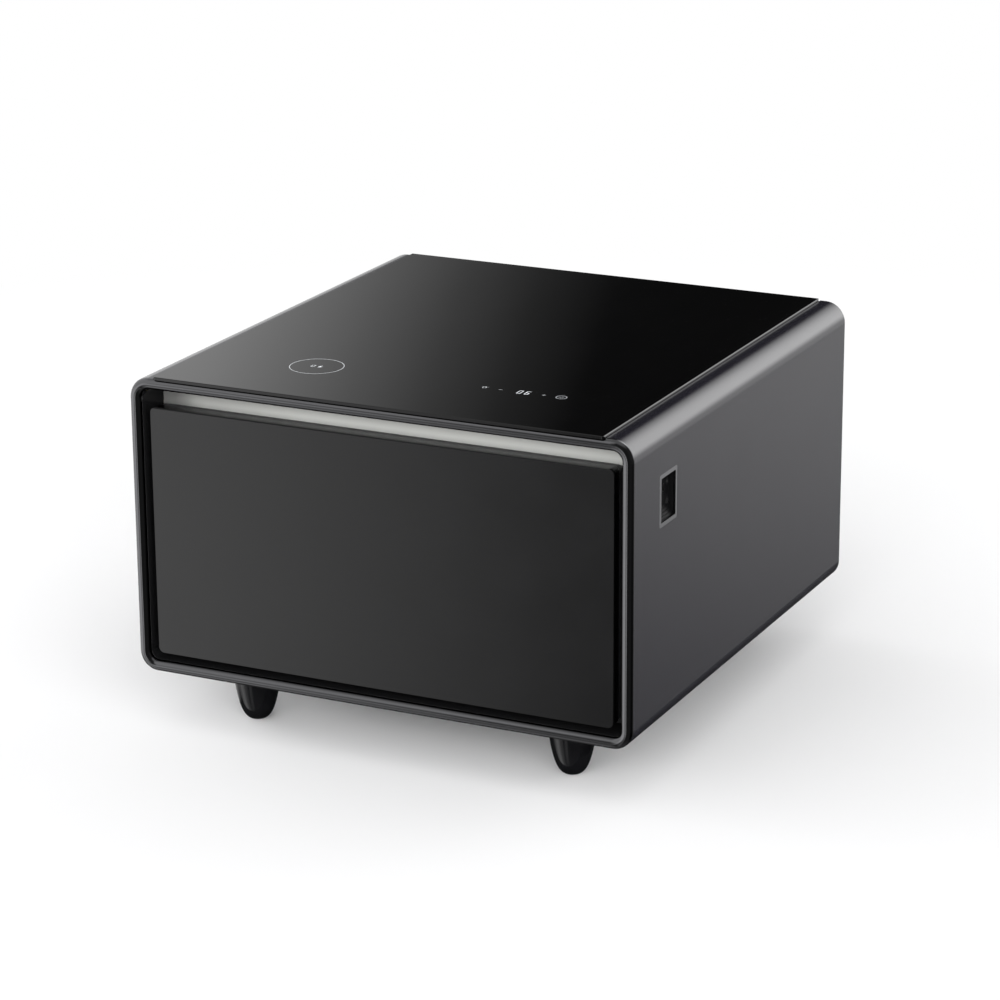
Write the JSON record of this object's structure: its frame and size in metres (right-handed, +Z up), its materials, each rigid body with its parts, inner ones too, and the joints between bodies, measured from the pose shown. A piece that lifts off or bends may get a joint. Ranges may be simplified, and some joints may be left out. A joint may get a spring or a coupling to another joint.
{
  "type": "refrigerator nightstand",
  "caption": "Low cooled drawer cabinet on bullet feet, with a black glass top, a round-edged metal casing and a glass drawer front.",
  "frame": {"origin": "on the floor under the middle of the overall box", "axes": "+Z up, the front faces -Y, +X is the side with the sockets"},
  "size_m": [0.65, 0.67, 0.446],
  "materials": {
    "casing_metal": "satin",
    "frame_satin": "satin",
    "black_glass": "polished",
    "seal_rubber": "matt",
    "black_plastic": "fine texture",
    "copper": "drawn",
    "circuit_board": "solder mask",
    "light_panel": "milky",
    "white_plastic": "satin",
    "liner_plastic": "moulded",
    "foam": "foamed",
    "cold_plate": "rolled",
    "zinc_steel": "zinc plated",
    "black_shell": "gloss black",
    "back_steel": "powder coat",
    "bezel_metal": "satin",
    "divider_acrylic": "clear"
  },
  "bodies": {
    "cabinet": {"outer_casing": "casing_metal", "front_frame": "frame_satin", "top_glass": "black_glass", "glass_seal": "seal_rubber", "electronics_tray": "black_plastic", "charging_coil": "copper", "charger_board": "circuit_board", "touch_board": "circuit_board", "light_diffuser": "light_panel", "light_housing": "white_plastic", "led_strip": "white_plastic", "mouth_frame": "black_plastic", "liner": "liner_plastic", "insulation": "foam", "evaporator_plate": "cold_plate", "bay_partition": "zinc_steel", "base_plate": "zinc_steel", "compressor": "black_shell", "compressor_grommets": "seal_rubber", "start_relay": "black_plastic", "condenser_tube": "copper", "condenser_fins": "cold_plate", "fan_shroud": "black_plastic", "fan_motor": "black_shell", "discharge_pipe": "copper", "suction_pipe": "copper", "filter_dryer": "copper", "capillary_tube": "copper", "drain_tray": "black_plastic", "drain_tube": "white_plastic", "control_board": "circuit_board", "control_box": "white_plastic", "power_inlet": "black_plastic", "back_panel": "back_steel", "back_panel_screws": "zinc_steel", "foot_front_left": "black_shell", "foot_front_right": "black_shell", "foot_rear_left": "black_shell", "foot_rear_right": "black_shell", "foot_studs": "zinc_steel", "socket_bezel": "bezel_metal", "socket_insert": "black_plastic", "usb_sockets": "zinc_steel", "socket_board": "circuit_board", "runner_outer_left": "zinc_steel", "runner_outer_right": "zinc_steel"},
    "fan": {"fan_rotor": "black_plastic"},
    "runner_middles": {"runner_middle_left": "zinc_steel", "runner_middle_right": "zinc_steel"},
    "drawer": {"runner_inner_left": "zinc_steel", "runner_inner_right": "zinc_steel", "drawer_glass": "black_glass", "drawer_frame": "frame_satin", "drawer_foam": "foam", "drawer_pan": "black_plastic", "drawer_gasket": "seal_rubber", "drawer_carrier": "zinc_steel", "drawer_screws": "zinc_steel", "drawer_bin": "liner_plastic", "bin_divider": "divider_acrylic"}
  },
  "joints": [
    {"name": "drawer_slide", "type": "slide", "parent": "cabinet", "child": "drawer", "axis": [0, -1, 0], "range_m": [0, 0.38]},
    {"name": "runner_slide", "type": "slide", "parent": "cabinet", "child": "runner_middles", "axis": [0, -1, 0], "range_m": [0, 0.19]},
    {"name": "fan_spin", "type": "hinge", "parent": "cabinet", "child": "fan", "pos_m": [0.145, 0.2565, 0.1537], "axis": [1, 0, 0], "continuous": true}
  ],
  "couplings": [
    {"joint": "runner_slide", "follows": "drawer_slide", "ratio": 0.5}
  ]
}
